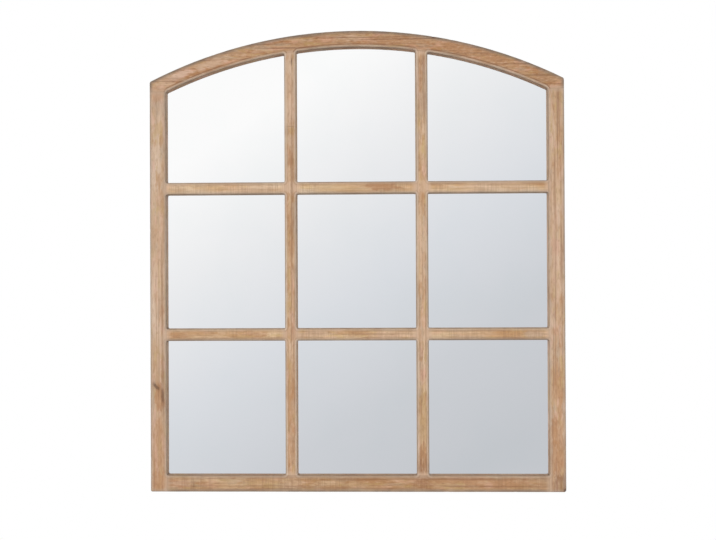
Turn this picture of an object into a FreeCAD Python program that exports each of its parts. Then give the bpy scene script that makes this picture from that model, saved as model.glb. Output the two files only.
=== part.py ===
"""Arched window-pane wall mirror, in millimetres.

A fir frame of two stiles, a bottom rail and an arched head holds cross-halved glazing bars, nine mirror
panes and a backing board. It hangs on two rings that swing in steel straps on the back of the stiles.

The origin is the middle of the frame's underside: +X to the right seen from the front, +Y towards the
wall, +Z up.
"""
import FreeCAD
import Part
import Sketcher
import os

SIZES = (
    ("overall_width", 900, "outer edge to outer edge of the stiles"),
    ("overall_height", 1000, "underside to the crown of the arch"),
    ("arch_radius", 1000, "outer edge of the arch"),
    ("frame_width", 36, "face of the stiles, bottom rail and arch"),
    ("frame_thickness", 22, "front face to back face of the frame"),
    ("bar_width", 27, "face of the glazing bars"),
    ("lip_depth", 13, "front face to the glass"),
    ("round_over", 6, "radius along the front edges of the openings"),
    ("bearing_radius", 4, "bearing of the round-over cutter, which stops short of the corners"),
    ("arris_radius", 1.5, "softened outer front edge"),
    ("corner_radius", 3, "softened outer corners"),
    ("stock_allowance", 5, "extra stock round each member before it is worked"),
    ("pane_thickness", 3, "mirror glass"),
    ("pane_lap", 8, "how far a pane reaches behind the lip"),
    ("pane_gap", 1, "play round a pane"),
    ("pane_seam", 0.4, "bevel that takes the sharpness off the glass"),
    ("board_thickness", 3, "backing board"),
    ("board_lap", 8, "ledge that carries the rim of the board"),
    ("board_gap", 0.5, "play round the board"),
    ("corner_dowel", 8, "diameter of the corner dowels"),
    ("corner_dowel_length", 46, "half of it in each member"),
    ("corner_dowel_pitch", 16, "between the two dowels of a corner"),
    ("bar_dowel", 6, "diameter of the bar dowels"),
    ("bar_dowel_length", 30, "half of it in each member"),
    ("dowel_chamfer", 0.8, "pointed dowel ends"),
    ("dowel_play", 0.1, "round a dowel in its bore"),
    ("glue_space", 1, "beyond each end of a dowel"),
    ("board_screw", 3, "shank diameter of the board screws"),
    ("board_screw_head", 6, "head diameter of the board screws"),
    ("board_screw_length", 12, "shank below the head"),
    ("hanger_screw", 3.5, "shank diameter of the strap screws"),
    ("hanger_screw_head", 6.6, "head diameter of the strap screws"),
    ("hanger_screw_length", 14, "shank below the head"),
    ("screw_head_height", 2, "pan head"),
    ("screw_head_bevel", 0.8, "bevelled rim of a head"),
    ("screw_play", 0.15, "round a screw in its hole"),
    ("hanger_drop", 220, "crown of the arch to the ring's axis"),
    ("strap_width", 11, "hanger strap"),
    ("strap_thickness", 1.2, "steel of the strap"),
    ("strap_reach", 44, "ring's axis to the lower end of the strap"),
    ("strap_screw_drop", 23, "ring's axis to the upper strap screw"),
    ("strap_screw_pitch", 14, "between the strap screws"),
    ("strap_curl", 285, "degrees of the curl round the ring"),
    ("ring_wire", 2.5, "diameter of the ring's wire"),
    ("ring_width", 14, "clear width inside the ring"),
    ("ring_length", 16, "axis to the inside of the ring's bow"),
    ("ring_bend", 2.5, "bend beside the straight of the ring"),
    ("ring_play", 0.3, "round the wire in the curl"),
    ("bumper_diameter", 12, "pad at the foot of each stile"),
    ("bumper_height", 5.5, "pad, off the back face"),
    ("bumper_edge", 1, "bevelled rim of the pad"),
    ("bumper_rise", 50, "underside of the frame to the middle of the pad"),
)

doc = FreeCAD.newDocument("arched_window_mirror")
sizes = doc.addObject("Spreadsheet::Sheet", "sizes")
for row, (alias, number, note) in enumerate(SIZES, start=1):
    sizes.set("A%d" % row, note)
    sizes.set("B%d" % row, str(number))
    sizes.setAlias("B%d" % row, alias)
doc.recompute()

FRONT = "(-sizes.frame_thickness / 2)"
BACK = "(sizes.frame_thickness / 2)"
GLASS_FRONT = "(%s + sizes.lip_depth)" % FRONT
GLASS_BACK = "(%s + sizes.pane_thickness)" % GLASS_FRONT
BOARD_BACK = "(%s + sizes.board_thickness)" % GLASS_BACK
LAP_PLANE = "((%s + %s) / 2)" % (FRONT, GLASS_BACK)
DOWEL_PLANE = "(%s + sizes.lip_depth / 2)" % FRONT

HALF_WIDTH = "(sizes.overall_width / 2)"
INSIDE = "(%s - sizes.frame_width)" % HALF_WIDTH
INNER_RADIUS = "(sizes.arch_radius - sizes.frame_width)"
ARCH_CENTRE = "(sizes.overall_height - sizes.arch_radius)"
HEAD_JOINT = "(%s + sqrt(%s ^ 2 - %s ^ 2))" % (ARCH_CENTRE, INNER_RADIUS, INSIDE)
OPENING_WIDTH = "((2 * %s - 2 * sizes.bar_width) / 3)" % INSIDE
OPENING_HEIGHT = "((sizes.overall_height - 2 * sizes.frame_width - 2 * sizes.bar_width) / 3)"
COLUMN_PITCH = "(%s + sizes.bar_width)" % OPENING_WIDTH
ROW_PITCH = "(%s + sizes.bar_width)" % OPENING_HEIGHT
BACK_MARGIN = "(sizes.frame_width - sizes.pane_lap - sizes.board_lap)"
BACK_MIDDLE = "(%s - %s / 2)" % (HALF_WIDTH, BACK_MARGIN)
SCREW_LINE = "(%s + sizes.board_lap / 2)" % BACK_MARGIN
RING_AXIS = "(sizes.overall_height - sizes.hanger_drop)"
CURL_RADIUS = "(sizes.ring_wire / 2 + sizes.ring_play + sizes.strap_thickness / 2)"
RING_PLANE = "(%s + sizes.strap_thickness / 2 + %s)" % (BACK, CURL_RADIUS)

COLUMNS = ("left", "centre", "right")
ROWS = ("bottom", "middle", "top")
SIDES = {"left": -1, "right": 1}


def value(formula):
    """Number that a formula of the sheet's sizes comes to."""
    return float(sizes.evalExpression(formula))


def bind(thing, **formulas):
    """Tie properties to formulas; a double underscore in a keyword stands for a dot."""
    for name, formula in formulas.items():
        thing.setExpression(name.replace("__", "."), formula)
    return thing


def place(thing, x="0", y="0", z="0"):
    """Tie the position of an object to formulas."""
    return bind(thing, Placement__Base__x=x, Placement__Base__y=y, Placement__Base__z=z)


def settle():
    """Recompute, and stop on a feature that failed."""
    doc.recompute()
    for thing in doc.Objects:
        if "Invalid" in thing.State or "Error" in thing.State:
            raise RuntimeError("%s failed: %s" % (thing.Label, thing.State))


class Drawing:
    """Sketch in one body, whose points and radii are tied to formulas."""

    def __init__(self, body, name, role="XZ_Plane", level="0"):
        self.sketch = body.newObject("Sketcher::SketchObject", name)
        base = next(f for f in body.Origin.OriginFeatures if f.Role == role)
        self.sketch.AttachmentSupport = [(base, "")]
        self.sketch.MapMode = "FlatFace"
        bind(self.sketch, AttachmentOffset__Base__z=level)

    def tie(self, formula, kind, *where):
        """Driving constraint that takes its value from a formula."""
        index = self.sketch.addConstraint(Sketcher.Constraint(kind, *where, value(formula)))
        name = "d%d" % index
        self.sketch.renameConstraint(index, name)
        self.sketch.setExpression("Constraints." + name, formula)

    def pin(self, geometry, point, x, y):
        """Hold one point of a piece of geometry at formulas."""
        self.tie(x, "DistanceX", geometry, point)
        self.tie(y, "DistanceY", geometry, point)

    def join(self, first, first_point, second, second_point):
        self.sketch.addConstraint(
            Sketcher.Constraint("Coincident", first, first_point, second, second_point))

    def line(self, start, end):
        """Straight line between two points, each a pair of formulas."""
        ends = [FreeCAD.Vector(value(x), value(y), 0) for x, y in (start, end)]
        return self.sketch.addGeometry(Part.LineSegment(*ends), False)

    def circle(self, x, y, radius):
        centre = FreeCAD.Vector(value(x), value(y), 0)
        ring = self.sketch.addGeometry(Part.Circle(centre, FreeCAD.Vector(0, 0, 1), value(radius)), False)
        self.pin(ring, 3, x, y)
        self.tie(radius, "Radius", ring)

    def arc(self, centre, radius, start, end):
        """Arc about a pinned centre, from one point counter-clockwise to another."""
        middle = FreeCAD.Vector(value(centre[0]), value(centre[1]), 0)
        circle = Part.Circle(middle, FreeCAD.Vector(0, 0, 1), value(radius))
        turns = [circle.parameter(FreeCAD.Vector(value(x), value(y), 0)) for x, y in (start, end)]
        bow = self.sketch.addGeometry(Part.ArcOfCircle(circle, *turns), False)
        self.pin(bow, 3, *centre)
        self.tie(radius, "Radius", bow)
        return bow

    def rectangle(self, left, bottom, right, top):
        corners = [(left, bottom), (right, bottom), (right, top), (left, top)]
        sides = [self.line(corner, corners[i - 3]) for i, corner in enumerate(corners)]
        for i, side in enumerate(sides):
            self.join(side, 2, sides[i - 3], 1)
            self.pin(side, 1, *corners[i])

    def arched(self, left, bottom, right, radius):
        """Outline with an upright at each side and a top about the centre of the arch."""
        left_top, right_top = (
            "(%s + sqrt((%s) ^ 2 - (%s) ^ 2))" % (ARCH_CENTRE, radius, x) for x in (left, right))
        base = self.line((left, bottom), (right, bottom))
        right_side = self.line((right, bottom), (right, right_top))
        crown = self.arc(("0", ARCH_CENTRE), radius, (right, right_top), (left, left_top))
        left_side = self.line((left, left_top), (left, bottom))
        self.join(base, 2, right_side, 1)
        self.join(right_side, 2, crown, 1)
        self.join(crown, 2, left_side, 1)
        self.join(left_side, 2, base, 1)
        self.pin(base, 1, left, bottom)
        self.pin(base, 2, right, bottom)
        self.tie(right, "DistanceX", right_side, 2)
        self.tie(left, "DistanceX", left_side, 1)

    def opening(self, column, row, grow="0"):
        """Outline of one of the nine openings, grown all round."""
        left = "(-%s + %d * %s - (%s))" % (INSIDE, column, COLUMN_PITCH, grow)
        right = "(-%s + %d * %s + %s + %s)" % (INSIDE, column, COLUMN_PITCH, OPENING_WIDTH, grow)
        bottom = "(sizes.frame_width + %d * %s - (%s))" % (row, ROW_PITCH, grow)
        if ROWS[row] == "top":
            self.arched(left, bottom, right, "(%s + %s)" % (INNER_RADIUS, grow))
        else:
            top = "(sizes.frame_width + %d * %s + %s + %s)" % (row, ROW_PITCH, OPENING_HEIGHT, grow)
            self.rectangle(left, bottom, right, top)


def level(depth):
    """Offset that brings an upright sketch, whose normal points forwards, to a depth."""
    return "-(%s)" % depth


def new_body(label):
    return doc.addObject("PartDesign::Body", label)


def pad(body, drawing, length, backwards=False, symmetric=False):
    feature = body.newObject("PartDesign::Pad", drawing.sketch.Name + "_pad")
    feature.Profile = drawing.sketch
    feature.Reversed = backwards
    if symmetric:
        feature.SideType = "Symmetric"
    bind(feature, Length=length)
    settle()
    return feature


def pocket(body, drawing, length=None, forwards=False):
    """Cut from the sketch towards the back, right through unless a length is given."""
    before = body.Shape.Volume
    feature = body.newObject("PartDesign::Pocket", drawing.sketch.Name + "_pocket")
    feature.Profile = drawing.sketch
    feature.Reversed = forwards
    if length is None:
        feature.Type = "ThroughAll"
    else:
        bind(feature, Length=length)
    settle()
    if body.Shape.Volume >= before:
        raise RuntimeError("%s cuts nothing" % feature.Label)
    return feature


def edges(body, wanted):
    """Names of the edges of a body's last feature whose sampled points all pass a test."""
    names = []
    for index, edge in enumerate(body.Tip.Shape.Edges, start=1):
        if all(wanted(point) for point in edge.discretize(5)):
            names.append("Edge%d" % index)
    return names


def dress(kind, body, names, **formulas):
    """Fillet or chamfer along named edges of a body's last feature."""
    last = body.Tip
    feature = body.newObject("PartDesign::" + kind, "%s_%s" % (last.Name, kind.lower()))
    feature.Base = (last, names)
    bind(feature, **formulas)
    settle()
    return feature


def near(a, b):
    return abs(a - b) < 1e-4


def upright(edge):
    """True of a straight edge that runs from front to back."""
    first, last = edge.Vertexes[0].Point, edge.Vertexes[-1].Point
    return near(first.x, last.x) and near(first.z, last.z) and not near(first.y, last.y)


def upright_edges(body, wanted):
    """Names of the front-to-back edges whose position passes a test."""
    return ["Edge%d" % index for index, edge in enumerate(body.Tip.Shape.Edges, start=1)
            if upright(edge) and wanted(edge.Vertexes[0].Point)]


def in_frame_band(point):
    """True outside the middle line of the frame members, where the outer edges are."""
    half = value("sizes.frame_width / 2")
    reach = ((point.z - value(ARCH_CENTRE)) ** 2 + point.x ** 2) ** 0.5
    return (abs(point.x) > value(HALF_WIDTH) - half or point.z < half
            or reach > value("sizes.arch_radius") - half)


def board_screw_points():
    """Two screws along the rim of the board beside every outer pane edge."""
    points = []
    for share in ("0.25", "0.75"):
        for cell in range(3):
            z = "(sizes.frame_width + %d * %s + %s * %s)" % (cell, ROW_PITCH, share, OPENING_HEIGHT)
            if ROWS[cell] == "top":
                z = "(sizes.frame_width + 2 * %s + %s * (%s - sizes.frame_width - 2 * %s))" % (
                    ROW_PITCH, share, HEAD_JOINT, ROW_PITCH)
            points += [("(%d * (%s - %s))" % (side, HALF_WIDTH, SCREW_LINE), z) for side in SIDES.values()]
            x = "(-%s + %d * %s + %s * %s)" % (INSIDE, cell, COLUMN_PITCH, share, OPENING_WIDTH)
            crown = "(%s + sqrt((sizes.arch_radius - %s) ^ 2 - %s ^ 2))" % (ARCH_CENTRE, SCREW_LINE, x)
            points += [(x, SCREW_LINE), (x, crown)]
    return points


def hanger_screw_points():
    return [("(%d * %s)" % (side, BACK_MIDDLE),
             "(%s - sizes.strap_screw_drop - %d * sizes.strap_screw_pitch)" % (RING_AXIS, step))
            for side in SIDES.values() for step in range(2)]


def circles(body, name, depth, points, radius):
    drawing = Drawing(body, name, level=level(depth))
    for x, z in points:
        drawing.circle(x, z, radius)
    return drawing


def make_lattice():
    """Front of the whole frame as it is routed after glue-up, before it is told apart into members."""
    body = new_body("lattice")
    outline = Drawing(body, "outline")
    outline.arched("-" + HALF_WIDTH, "0", HALF_WIDTH, "sizes.arch_radius")
    pad(body, outline, "sizes.frame_thickness", symmetric=True)

    openings = Drawing(body, "openings", level=level(FRONT))
    for row in range(3):
        for column in range(3):
            openings.opening(column, row)
    pocket(body, openings)

    corners = upright_edges(body, lambda p: not in_frame_band(p))
    dress("Fillet", body, corners, Radius="sizes.bearing_radius")
    front = value(FRONT)
    inner = edges(body, lambda p: near(p.y, front) and not in_frame_band(p))
    dress("Fillet", body, inner, Radius="sizes.round_over")
    outer_corners = upright_edges(body, in_frame_band)
    dress("Fillet", body, outer_corners, Radius="sizes.corner_radius")
    outer = edges(body, lambda p: near(p.y, front) and in_frame_band(p))
    dress("Fillet", body, outer, Radius="sizes.arris_radius")

    square = Drawing(body, "square_corners", level=level(FRONT))
    board = Drawing(body, "board_rebate", level=level(GLASS_BACK))
    panes = Drawing(body, "pane_rebates", level=level(GLASS_FRONT))
    for row in range(3):
        for column in range(3):
            square.opening(column, row)
            panes.opening(column, row, "sizes.pane_lap")
    board.arched("-(%s - %s)" % (HALF_WIDTH, BACK_MARGIN), BACK_MARGIN,
                 "(%s - %s)" % (HALF_WIDTH, BACK_MARGIN), "(sizes.arch_radius - %s)" % BACK_MARGIN)
    pocket(body, square)
    pocket(body, board)
    pocket(body, panes)

    pilots = circles(body, "board_pilots", GLASS_BACK, board_screw_points(),
                     "sizes.board_screw / 2 + sizes.screw_play")
    pocket(body, pilots, "sizes.board_screw_length - sizes.board_thickness + sizes.glue_space",
           forwards=True)
    pilots = circles(body, "hanger_pilots", BACK, hanger_screw_points(),
                     "sizes.hanger_screw / 2 + sizes.screw_play")
    pocket(body, pilots, "sizes.hanger_screw_length - sizes.strap_thickness + sizes.glue_space",
           forwards=True)
    return body


def box(name, low, high):
    """Box between two corners, each a triple of formulas."""
    solid = doc.addObject("Part::Box", name)
    length, width, height = ("(%s) - (%s)" % (b, a) for a, b in zip(low, high))
    bind(solid, Length=length, Width=width, Height=height)
    return place(solid, *low)


def rod(name, radius, length, x, y, z, axis):
    """Cylinder centred on a point, along X, Y or Z."""
    turns = {"X": FreeCAD.Rotation(FreeCAD.Vector(0, 1, 0), 90),
             "Y": FreeCAD.Rotation(FreeCAD.Vector(1, 0, 0), -90),
             "Z": FreeCAD.Rotation()}
    solid = doc.addObject("Part::Cylinder", name)
    solid.Placement.Rotation = turns[axis]
    bind(solid, Radius=radius, Height=length)
    at = {"X": x, "Y": y, "Z": z}
    at[axis] = "%s - (%s) / 2" % (at[axis], length)
    return place(solid, at["X"], at["Y"], at["Z"])


def combine(kind, name, base, tool):
    result = doc.addObject("Part::" + kind, name)
    result.Base, result.Tool = base, tool
    return result


def gather(name, things):
    group = doc.addObject("Part::Compound", name)
    group.Links = things
    return group


def corner_dowel_seats():
    """Axis and middle of the two dowels in each corner of the frame."""
    seats = []
    for side in SIDES.values():
        for step in (-0.5, 0.5):
            shift = "sizes.frame_width / 2 + %s * sizes.corner_dowel_pitch" % step
            seats.append(("X", "(%d * %s)" % (side, INSIDE), "(%s)" % shift))
            seats.append(("Z", "(%d * (%s - (%s)))" % (side, HALF_WIDTH, shift), HEAD_JOINT))
    return seats


def bar_x(index):
    """Middle of an upright glazing bar."""
    return "(-%s + %d * %s - sizes.bar_width / 2)" % (INSIDE, index + 1, COLUMN_PITCH)


def bar_z(index):
    """Middle of a level glazing bar."""
    return "(sizes.frame_width + %d * %s - sizes.bar_width / 2)" % (index + 1, ROW_PITCH)


def bar_dowel_seats():
    """Axis and middle of the dowel at each end of each glazing bar."""
    seats = []
    for index in range(2):
        crown = "(%s + sqrt(%s ^ 2 - %s ^ 2))" % (ARCH_CENTRE, INNER_RADIUS, bar_x(index))
        seats += [("Z", bar_x(index), "sizes.frame_width"), ("Z", bar_x(index), crown)]
        seats += [("X", "(%d * %s)" % (side, INSIDE), bar_z(index)) for side in SIDES.values()]
    return seats


def make_dowels(label, seats, diameter, length):
    """Group of like dowels, and the bores that take them."""
    dowels, bores = [], []
    for number, (axis, x, z) in enumerate(seats, start=1):
        pin = rod("%s_%d" % (label, number), diameter + " / 2", length, x, DOWEL_PLANE, z, axis)
        settle()
        pointed = doc.addObject("Part::Chamfer", "%s_%d_pointed" % (label, number))
        pointed.Base = pin
        bevel = value("sizes.dowel_chamfer")
        pointed.Edges = [(i, bevel, bevel) for i, edge in enumerate(pin.Shape.Edges, start=1)
                         if isinstance(edge.Curve, Part.Circle)]
        dowels.append(pointed)
        bores.append(rod("%s_%d_bore" % (label, number), diameter + " / 2 + sizes.dowel_play",
                         length + " + 2 * sizes.glue_space", x, DOWEL_PLANE, z, axis))
    return gather(label, dowels), bores


def make_members(lattice, bores):
    """Stiles, rails and bars, each its own stock within the routed lattice."""
    spare = "sizes.stock_allowance"
    ahead, behind = "%s - %s" % (FRONT, spare), "%s + %s" % (BACK, spare)
    below, above = "-" + spare, "sizes.overall_height + " + spare
    far = "(%s + %s)" % (HALF_WIDTH, spare)
    under_arch = rod("under_arch", INNER_RADIUS, "sizes.frame_thickness + 4 * " + spare,
                     "0", "0", ARCH_CENTRE, "Y")
    stock = {
        "left_stile": box("left_stile_stock", ("-" + far, ahead, below),
                          ("-" + INSIDE, behind, HEAD_JOINT)),
        "right_stile": box("right_stile_stock", (INSIDE, ahead, below), (far, behind, HEAD_JOINT)),
        "bottom_rail": box("bottom_rail_stock", ("-" + INSIDE, ahead, below),
                           (INSIDE, behind, "sizes.frame_width")),
        "arch_rail": combine("Cut", "arch_rail_stock",
                             box("arch_rail_board", ("-" + far, ahead, HEAD_JOINT), (far, behind, above)),
                             under_arch),
    }
    half = "sizes.bar_width / 2"
    crossings = [(column, row) for column in range(2) for row in range(2)]
    for index, label in enumerate(("left_glazing_bar", "right_glazing_bar")):
        x = bar_x(index)
        strip = box(label + "_strip", ("%s - %s" % (x, half), ahead, "sizes.frame_width"),
                    ("%s + %s" % (x, half), behind, above))
        notches = gather(label + "_notches", [
            box("%s_notch_%d" % (label, row),
                ("%s - %s - %s" % (x, half, spare), LAP_PLANE, "%s - %s" % (bar_z(row), half)),
                ("%s + %s + %s" % (x, half, spare), behind, "%s + %s" % (bar_z(row), half)))
            for column, row in crossings if column == index])
        scribed = combine("Common", label + "_scribed", strip, under_arch)
        stock[label] = combine("Cut", label + "_stock", scribed, notches)
    for index, label in enumerate(("lower_glazing_bar", "upper_glazing_bar")):
        z = bar_z(index)
        strip = box(label + "_strip", ("-" + INSIDE, ahead, "%s - %s" % (z, half)),
                    (INSIDE, behind, "%s + %s" % (z, half)))
        notches = gather(label + "_notches", [
            box("%s_notch_%d" % (label, column),
                ("%s - %s" % (bar_x(column), half), ahead, "%s - %s - %s" % (z, half, spare)),
                ("%s + %s" % (bar_x(column), half), LAP_PLANE, "%s + %s + %s" % (z, half, spare)))
            for column, row in crossings if row == index])
        stock[label] = combine("Cut", label + "_stock", strip, notches)

    holes = gather("dowel_bores", bores)
    members = []
    for label, blank in stock.items():
        routed = combine("Common", label + "_routed", lattice, blank)
        members.append(combine("Cut", label, routed, holes))
    settle()
    return members


def make_pane(label, column, row):
    body = new_body(label)
    outline = Drawing(body, label + "_outline", level=level(GLASS_FRONT))
    outline.opening(column, row, "(sizes.pane_lap - sizes.pane_gap)")
    pad(body, outline, "sizes.pane_thickness", backwards=True)
    rim = edges(body, lambda p: near(p.y, value(GLASS_FRONT)))
    dress("Chamfer", body, rim, Size="sizes.pane_seam")
    return body


def make_board():
    body = new_body("backing_board")
    inset = "(%s + sizes.board_gap)" % BACK_MARGIN
    outline = Drawing(body, "board_outline", level=level(GLASS_BACK))
    outline.arched("-(%s - %s)" % (HALF_WIDTH, inset), inset, "(%s - %s)" % (HALF_WIDTH, inset),
                   "(sizes.arch_radius - %s)" % inset)
    pad(body, outline, "sizes.board_thickness", backwards=True)
    pocket(body, circles(body, "board_holes", GLASS_BACK, board_screw_points(),
                         "sizes.board_screw / 2 + sizes.screw_play"))
    return body


def make_screws(label, points, seat, shank, head, length):
    """Group of like pan-head screws, driven forwards, whose heads bear on a seat."""
    body = new_body(label)
    pad(body, circles(body, label + "_shanks", seat, points, shank + " / 2"), length)
    pad(body, circles(body, label + "_heads", seat, points, head + " / 2"), "sizes.screw_head_height",
        backwards=True)
    crown = value("%s + sizes.screw_head_height" % seat)
    dress("Chamfer", body, edges(body, lambda p: near(p.y, crown)), Size="sizes.screw_head_bevel")
    return body


def make_strap(label, side):
    """Steel strap, flat on the stile and curled round the straight of the ring."""
    body = new_body(label)
    foot = "(%s - sizes.strap_reach)" % RING_AXIS
    section = Drawing(body, label + "_section", role="XY_Plane", level=foot)
    half = "sizes.strap_width / 2"
    section.rectangle("-" + half, BACK, half, "%s + sizes.strap_thickness" % BACK)
    middle = "(%s + sizes.strap_thickness / 2)" % BACK
    fold = Drawing(body, label + "_fold", role="YZ_Plane")
    tip = ("(%s - %s * cos(sizes.strap_curl * 1 deg))" % (RING_PLANE, CURL_RADIUS),
           "(%s + %s * sin(sizes.strap_curl * 1 deg))" % (RING_AXIS, CURL_RADIUS))
    leaf = fold.line((middle, foot), (middle, RING_AXIS))
    curl = fold.arc((RING_PLANE, RING_AXIS), CURL_RADIUS, tip, (middle, RING_AXIS))
    fold.join(leaf, 2, curl, 2)
    fold.pin(leaf, 1, middle, foot)
    fold.tie(RING_AXIS, "DistanceY", leaf, 2)
    fold.tie(tip[0], "DistanceX", curl, 1)
    sweep = body.newObject("PartDesign::AdditivePipe", label + "_sweep")
    sweep.Profile = section.sketch
    sweep.Spine = (fold.sketch, ["Edge1", "Edge2"])
    settle()
    bottom = value(foot)
    ends = upright_edges(body, lambda p: near(p.z, bottom))
    dress("Fillet", body, ends, Radius="0.45 * sizes.strap_width")
    points = [("0", z) for x, z in hanger_screw_points()[:2]]
    pocket(body, circles(body, label + "_holes", BACK, points, "sizes.hanger_screw / 2 + sizes.screw_play"),
           "2 * sizes.strap_thickness")
    return place(body, x="%d * %s" % (side, BACK_MIDDLE))


def make_ring(label, side):
    """Ring of round wire with one straight side, hanging from the strap."""
    body = new_body(label)
    bow = "(sizes.ring_width / 2 + sizes.ring_wire / 2)"
    shoulder = "(%s - sizes.ring_bend)" % bow
    bend = "(%s - sizes.ring_bend)" % RING_AXIS
    spring = "(%s - sizes.ring_length + sizes.ring_width / 2)" % RING_AXIS
    loop = Drawing(body, label + "_loop", level=level(RING_PLANE))
    bar = loop.line(("-" + shoulder, RING_AXIS), (shoulder, RING_AXIS))
    right_bend = loop.arc((shoulder, bend), "sizes.ring_bend", (bow, bend), (shoulder, RING_AXIS))
    right_leg = loop.line((bow, spring), (bow, bend))
    bottom = loop.arc(("0", spring), bow, ("-" + bow, spring), (bow, spring))
    left_leg = loop.line(("-" + bow, bend), ("-" + bow, spring))
    left_bend = loop.arc(("-" + shoulder, bend), "sizes.ring_bend", ("-" + shoulder, RING_AXIS),
                         ("-" + bow, bend))
    loop.join(bar, 2, right_bend, 2)
    loop.join(right_bend, 1, right_leg, 2)
    loop.join(right_leg, 1, bottom, 2)
    loop.join(bottom, 1, left_leg, 2)
    loop.join(left_leg, 1, left_bend, 2)
    loop.join(left_bend, 1, bar, 1)
    loop.tie("-" + shoulder, "DistanceX", bar, 1)
    loop.tie(shoulder, "DistanceX", bar, 2)
    for leg, upper, lower in ((right_leg, 2, 1), (left_leg, 1, 2)):
        loop.tie(bend, "DistanceY", leg, upper)
        loop.tie(spring, "DistanceY", leg, lower)
    wire = Drawing(body, label + "_wire", role="YZ_Plane")
    wire.circle(RING_PLANE, RING_AXIS, "sizes.ring_wire / 2")
    sweep = body.newObject("PartDesign::AdditivePipe", label + "_sweep")
    sweep.Profile = wire.sketch
    sweep.Spine = (loop.sketch, ["Edge%d" % number for number in range(1, 7)])
    settle()
    return place(body, x="%d * %s" % (side, BACK_MIDDLE))


def make_bumper(label, side):
    body = new_body(label)
    foot = [("0", "sizes.bumper_rise")]
    pad(body, circles(body, label + "_outline", BACK, foot, "sizes.bumper_diameter / 2"),
        "sizes.bumper_height", backwards=True)
    crown = value(BACK + " + sizes.bumper_height")
    dress("Chamfer", body, edges(body, lambda p: near(p.y, crown)), Size="sizes.bumper_edge")
    return place(body, x="%d * %s" % (side, BACK_MIDDLE))


corner_dowels, corner_bores = make_dowels("corner_dowels", corner_dowel_seats(), "sizes.corner_dowel",
                                          "sizes.corner_dowel_length")
bar_dowels, bar_bores = make_dowels("bar_dowels", bar_dowel_seats(), "sizes.bar_dowel",
                                    "sizes.bar_dowel_length")
parts = make_members(make_lattice(), corner_bores + bar_bores) + [corner_dowels, bar_dowels]
for row_index, row_name in enumerate(ROWS):
    for column_index, column_name in enumerate(COLUMNS):
        parts.append(make_pane("pane_%s_%s" % (row_name, column_name), column_index, row_index))
parts.append(make_board())
parts.append(make_screws("board_screws", board_screw_points(), BOARD_BACK, "sizes.board_screw",
                         "sizes.board_screw_head", "sizes.board_screw_length"))
parts.append(make_screws("hanger_screws", hanger_screw_points(), "%s + sizes.strap_thickness" % BACK,
                         "sizes.hanger_screw", "sizes.hanger_screw_head", "sizes.hanger_screw_length"))
for side_name, side_sign in SIDES.items():
    parts.append(make_strap(side_name + "_hanger_strap", side_sign))
    parts.append(make_ring(side_name + "_hanger_ring", side_sign))
    parts.append(make_bumper(side_name + "_wall_bumper", side_sign))
settle()

for part in parts:
    if part.Shape.isNull() or not part.Shape.isValid() or not part.Shape.Solids:
        raise RuntimeError("%s has no valid solid" % part.Label)
os.makedirs("parts", exist_ok=True)
for part in parts:
    part.Shape.exportStep("parts/%s.step" % part.Label)
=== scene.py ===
import math

import bmesh
import bpy
import numpy as np
from bpy.types import NodeSocket, Operator, Panel, PropertyGroup
from mathutils import Matrix, Vector, noise


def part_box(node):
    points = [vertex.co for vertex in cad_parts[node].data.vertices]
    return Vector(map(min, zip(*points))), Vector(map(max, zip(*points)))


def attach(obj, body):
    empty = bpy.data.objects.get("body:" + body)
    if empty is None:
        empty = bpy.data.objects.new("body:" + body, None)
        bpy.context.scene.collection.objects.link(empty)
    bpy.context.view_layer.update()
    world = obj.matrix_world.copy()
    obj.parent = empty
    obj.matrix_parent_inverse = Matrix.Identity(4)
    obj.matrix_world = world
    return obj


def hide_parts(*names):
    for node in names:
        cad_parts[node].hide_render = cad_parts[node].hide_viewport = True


bl_info = {
    "name": "Arched Window Mirror",
    "version": (1, 0, 0),
    "blender": (4, 5, 0),
    "location": "View3D > Sidebar > Mirror",
    "description": "Dresses the arched window-pane mirror and sets up its studio",
    "category": "Object",
}

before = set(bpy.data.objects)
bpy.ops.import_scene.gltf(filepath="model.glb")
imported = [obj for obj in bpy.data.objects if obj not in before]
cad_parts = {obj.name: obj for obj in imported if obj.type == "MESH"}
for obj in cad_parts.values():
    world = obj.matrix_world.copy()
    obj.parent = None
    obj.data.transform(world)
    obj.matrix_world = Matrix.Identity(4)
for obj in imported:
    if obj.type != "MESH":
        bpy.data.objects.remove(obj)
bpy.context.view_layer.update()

MM = 0.001
WELD = 0.004 * MM
WHITE = (1, 1, 1)
ROWS = ("bottom", "middle", "top")
COLUMNS = ("left", "centre", "right")
SIDES = ("left", "right")


# Settings
def srgb(red, green, blue):
    """Linear colour of a tone that is written as it looks on a screen."""
    parts = (red / 255, green / 255, blue / 255)
    return tuple(p / 12.92 if p <= 0.04045 else ((p + 0.055) / 1.055) ** 2.4 for p in parts)


def colour(label, description, tone):
    return bpy.props.FloatVectorProperty(name=label, description=description, default=srgb(*tone),
                                         subtype="COLOR", size=3, min=0, max=1)


def length(label, description, millimetres):
    return bpy.props.FloatProperty(name=label, description=description, default=millimetres * MM,
                                   subtype="DISTANCE", unit="LENGTH", min=0)


def share(label, description, amount, most=1.0):
    return bpy.props.FloatProperty(name=label, description=description, default=amount,
                                   subtype="FACTOR", min=0, max=most)


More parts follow.
